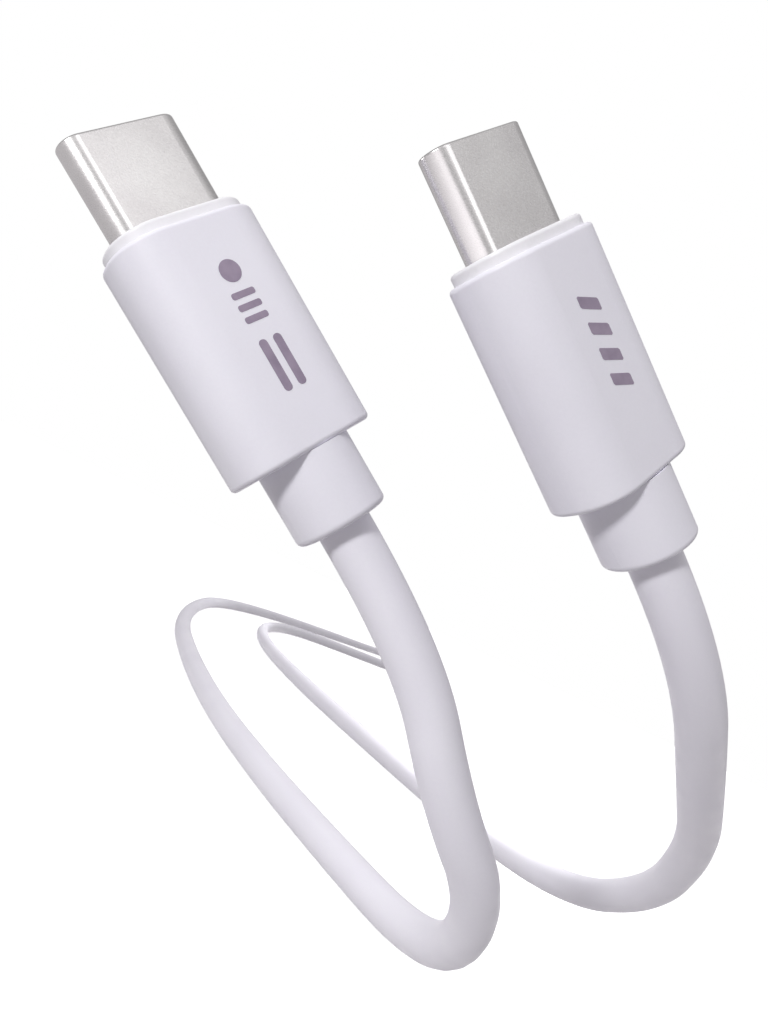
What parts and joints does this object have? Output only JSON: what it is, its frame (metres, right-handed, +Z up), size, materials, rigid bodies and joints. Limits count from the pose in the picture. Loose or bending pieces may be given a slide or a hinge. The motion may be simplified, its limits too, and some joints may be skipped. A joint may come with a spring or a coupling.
{
  "type": "charging cable",
  "caption": "White charging cable with an identical flat reversible plug on each end, its cord laid in a long loose loop with both plugs raised.",
  "frame": {"origin": "centre of the whole cable's box in X and Y, at the level of the surface that the cord's loop lies on", "axes": "+Z up from that surface; +Y along the loop, from the plugs towards its far turn; +X to the right as seen from the plugs' end"},
  "size_m": [0.1188, 0.451, 0.0586],
  "materials": {
    "white_housing": "fine satin moulded, slightly lavender white",
    "white_collar": "smooth satin",
    "white_cord": "soft satin jacket",
    "plug_steel": "bright nickel plated, satin",
    "spring_steel": "satin",
    "black_insulator": "moulded",
    "gold_contacts": "gold plated",
    "board_green": "solder mask",
    "chip_black": "matte epoxy",
    "capacitor_tan": "ceramic",
    "copper_wire": "tinned copper",
    "can_steel": "drawn sheet",
    "copper_crimp": "crimped",
    "inner_mold": "moulded"
  },
  "bodies": {
    "cable": {"cord": "white_cord", "plug_a_housing": "white_housing", "plug_a_strain_relief": "white_housing", "plug_a_front_collar": "white_collar", "plug_a_steel_shell": "plug_steel", "plug_a_insulator": "black_insulator", "plug_a_contact_tails_upper": "gold_contacts", "plug_a_contact_tails_lower": "gold_contacts", "plug_a_ground_spring_upper": "spring_steel", "plug_a_ground_spring_lower": "spring_steel", "plug_a_circuit_board": "board_green", "plug_a_marker_chip": "chip_black", "plug_a_chip_capacitors": "capacitor_tan", "plug_a_wire_ends": "copper_wire", "plug_a_shield_can_upper": "can_steel", "plug_a_shield_can_lower": "can_steel", "plug_a_crimp_ring": "copper_crimp", "plug_a_cord_end": "white_cord", "plug_a_inner_mold": "inner_mold", "plug_b_housing": "white_housing", "plug_b_strain_relief": "white_housing", "plug_b_front_collar": "white_collar", "plug_b_steel_shell": "plug_steel", "plug_b_insulator": "black_insulator", "plug_b_contact_tails_upper": "gold_contacts", "plug_b_contact_tails_lower": "gold_contacts", "plug_b_ground_spring_upper": "spring_steel", "plug_b_ground_spring_lower": "spring_steel", "plug_b_circuit_board": "board_green", "plug_b_marker_chip": "chip_black", "plug_b_chip_capacitors": "capacitor_tan", "plug_b_wire_ends": "copper_wire", "plug_b_shield_can_upper": "can_steel", "plug_b_shield_can_lower": "can_steel", "plug_b_crimp_ring": "copper_crimp", "plug_b_cord_end": "white_cord", "plug_b_inner_mold": "inner_mold"},
    "plug_a_contacts_upper": {"plug_a_contacts_upper": "gold_contacts"},
    "plug_a_contacts_lower": {"plug_a_contacts_lower": "gold_contacts"},
    "plug_a_latch_left": {"plug_a_latch_left": "spring_steel"},
    "plug_a_latch_right": {"plug_a_latch_right": "spring_steel"},
    "plug_b_contacts_upper": {"plug_b_contacts_upper": "gold_contacts"},
    "plug_b_contacts_lower": {"plug_b_contacts_lower": "gold_contacts"},
    "plug_b_latch_left": {"plug_b_latch_left": "spring_steel"},
    "plug_b_latch_right": {"plug_b_latch_right": "spring_steel"}
  },
  "joints": [
    {"name": "plug_a_contacts_upper_flex", "type": "hinge", "parent": "cable", "child": "plug_a_contacts_upper", "pos_m": [-0.03435, -0.21982, 0.04382], "axis": [0.4157, 0.4772, 0.7742], "range_deg": [0, 1.5], "stiffness_Nm_per_rad": 0.17},
    {"name": "plug_a_contacts_lower_flex", "type": "hinge", "parent": "cable", "child": "plug_a_contacts_lower", "pos_m": [-0.03474, -0.21895, 0.0435], "axis": [0.4157, 0.4772, 0.7742], "range_deg": [-1.5, 0], "stiffness_Nm_per_rad": 0.17},
    {"name": "plug_a_latch_left_flex", "type": "hinge", "parent": "cable", "child": "plug_a_latch_left", "pos_m": [-0.03567, -0.22099, 0.04073], "axis": [0.3925, -0.8621, 0.3206], "range_deg": [0, 1.8], "stiffness_Nm_per_rad": 0.17},
    {"name": "plug_a_latch_right_flex", "type": "hinge", "parent": "cable", "child": "plug_a_latch_right", "pos_m": [-0.03276, -0.21765, 0.04615], "axis": [0.3925, -0.8621, 0.3206], "range_deg": [-1.8, 0], "stiffness_Nm_per_rad": 0.17},
    {"name": "plug_b_contacts_upper_flex", "type": "hinge", "parent": "cable", "child": "plug_b_contacts_upper", "pos_m": [-0.0144, -0.22193, 0.05172], "axis": [0.4332, 0.4577, 0.7764], "range_deg": [0, 1.5], "stiffness_Nm_per_rad": 0.17},
    {"name": "plug_b_contacts_lower_flex", "type": "hinge", "parent": "cable", "child": "plug_b_contacts_lower", "pos_m": [-0.01485, -0.22107, 0.05147], "axis": [0.4332, 0.4577, 0.7764], "range_deg": [-1.5, 0], "stiffness_Nm_per_rad": 0.17},
    {"name": "plug_b_latch_left_flex", "type": "hinge", "parent": "cable", "child": "plug_b_latch_left", "pos_m": [-0.01583, -0.223, 0.04865], "axis": [0.4476, -0.857, 0.2554], "range_deg": [0, 1.8], "stiffness_Nm_per_rad": 0.17},
    {"name": "plug_b_latch_right_flex", "type": "hinge", "parent": "cable", "child": "plug_b_latch_right", "pos_m": [-0.0128, -0.2198, 0.05408], "axis": [0.4476, -0.857, 0.2554], "range_deg": [-1.8, 0], "stiffness_Nm_per_rad": 0.17}
  ]
}
